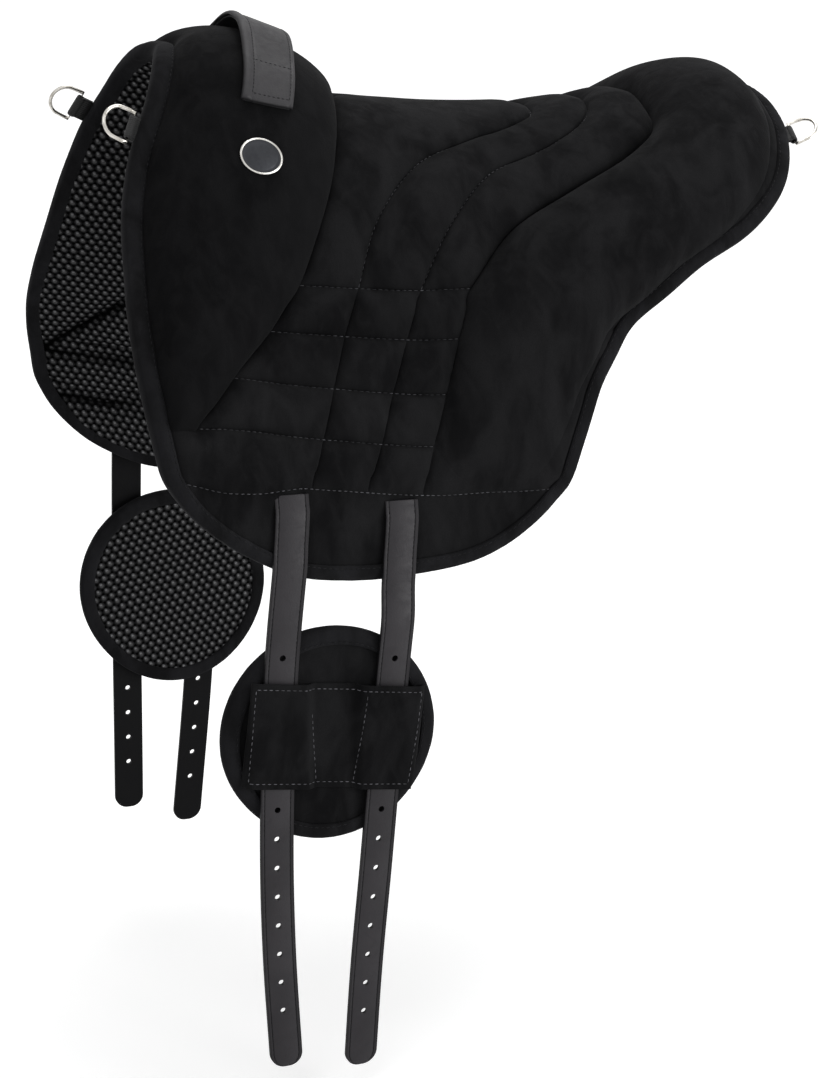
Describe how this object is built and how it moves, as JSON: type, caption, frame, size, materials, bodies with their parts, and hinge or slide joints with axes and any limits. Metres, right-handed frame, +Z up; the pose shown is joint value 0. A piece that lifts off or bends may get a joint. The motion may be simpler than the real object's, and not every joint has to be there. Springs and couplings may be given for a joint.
{
  "type": "bareback pad",
  "caption": "Padded suede bareback riding pad with raised thigh and cantle blocks, grab handle, edge D-rings, webbing girth mounting, hanging girth straps and sliding round strap guards.",
  "frame": {"origin": "underside centre line at the deepest point of the seat, where the pad rests on the ridge of the horse's back", "axes": "+X towards the horse's tail, +Y towards the horse's right side, +Z up"},
  "size_m": [0.6928, 0.4654, 0.9174],
  "materials": {
    "suede": "synthetic suede, matt, short nap",
    "nonslip_mesh": "rubber-coated open mesh, semi-gloss knots",
    "foam": "closed-cell foam, matt",
    "binding": "folded suede tape, matt",
    "webbing": "woven polyamide, low sheen",
    "strap": "synthetic leather, satin grain",
    "handle": "synthetic leather, satin grain",
    "nickel": "nickel plated, polished",
    "gunmetal": "gunmetal, satin",
    "bright_rim": "polished raised rim"
  },
  "bodies": {
    "pad": {"lining": "nonslip_mesh", "foam_core": "foam", "seat_cover": "suede", "edge_binding": "binding", "thigh_block_cover": "suede", "left_thigh_foam": "foam", "right_thigh_foam": "foam", "cantle_block_cover": "suede", "cantle_foam": "foam", "front_girth_webbing": "webbing", "rear_girth_webbing": "webbing", "grab_handle": "handle", "grab_handle_backing": "webbing", "left_front_ring_tab": "webbing", "left_rear_ring_tab": "webbing", "right_front_ring_tab": "webbing", "right_rear_ring_tab": "webbing", "oval_plate": "gunmetal", "oval_plate_rim": "bright_rim"},
    "left_straps": {"left_front_girth_strap": "strap", "left_rear_girth_strap": "strap"},
    "left_disc": {"left_disc_lining": "nonslip_mesh", "left_disc_foam": "foam", "left_disc_face": "suede", "left_disc_binding": "binding", "left_disc_sleeve": "suede"},
    "left_front_ring": {"left_front_ring": "nickel"},
    "left_rear_ring": {"left_rear_ring": "nickel"},
    "right_straps": {"right_front_girth_strap": "strap", "right_rear_girth_strap": "strap"},
    "right_disc": {"right_disc_lining": "nonslip_mesh", "right_disc_foam": "foam", "right_disc_face": "suede", "right_disc_binding": "binding", "right_disc_sleeve": "suede"},
    "right_front_ring": {"right_front_ring": "nickel"},
    "right_rear_ring": {"right_rear_ring": "nickel"}
  },
  "joints": [
    {"name": "left_strap_swing", "type": "hinge", "parent": "pad", "child": "left_straps", "pos_m": [-0.26, -0.217, -0.2665], "axis": [1, 0, 0], "range_deg": [-85, 0]},
    {"name": "left_disc_slide", "type": "slide", "parent": "left_straps", "child": "left_disc", "axis": [0.0523, 0, 0.9986], "range_m": [-0.2, 0.025]},
    {"name": "right_strap_swing", "type": "hinge", "parent": "pad", "child": "right_straps", "pos_m": [-0.26, 0.217, -0.2665], "axis": [1, 0, 0], "range_deg": [0, 85]},
    {"name": "right_disc_slide", "type": "slide", "parent": "right_straps", "child": "right_disc", "axis": [0.0523, 0, 0.9986], "range_m": [-0.15, 0.025]},
    {"name": "left_front_ring_swing", "type": "hinge", "parent": "pad", "child": "left_front_ring", "pos_m": [-0.39089, -0.08166, 0.02321], "axis": [-0.4326, -0.3917, -0.8121], "range_deg": [-80, 80]},
    {"name": "right_front_ring_swing", "type": "hinge", "parent": "pad", "child": "right_front_ring", "pos_m": [-0.39089, 0.08166, 0.02321], "axis": [-0.4326, 0.3917, -0.8121], "range_deg": [-80, 80]},
    {"name": "left_rear_ring_swing", "type": "hinge", "parent": "pad", "child": "left_rear_ring", "pos_m": [0.24683, -0.09366, -0.01525], "axis": [-0.1749, -0.8442, -0.5066], "range_deg": [-110, 50]},
    {"name": "right_rear_ring_swing", "type": "hinge", "parent": "pad", "child": "right_rear_ring", "pos_m": [0.24683, 0.09366, -0.01525], "axis": [-0.1749, 0.8442, -0.5066], "range_deg": [-50, 110]}
  ]
}
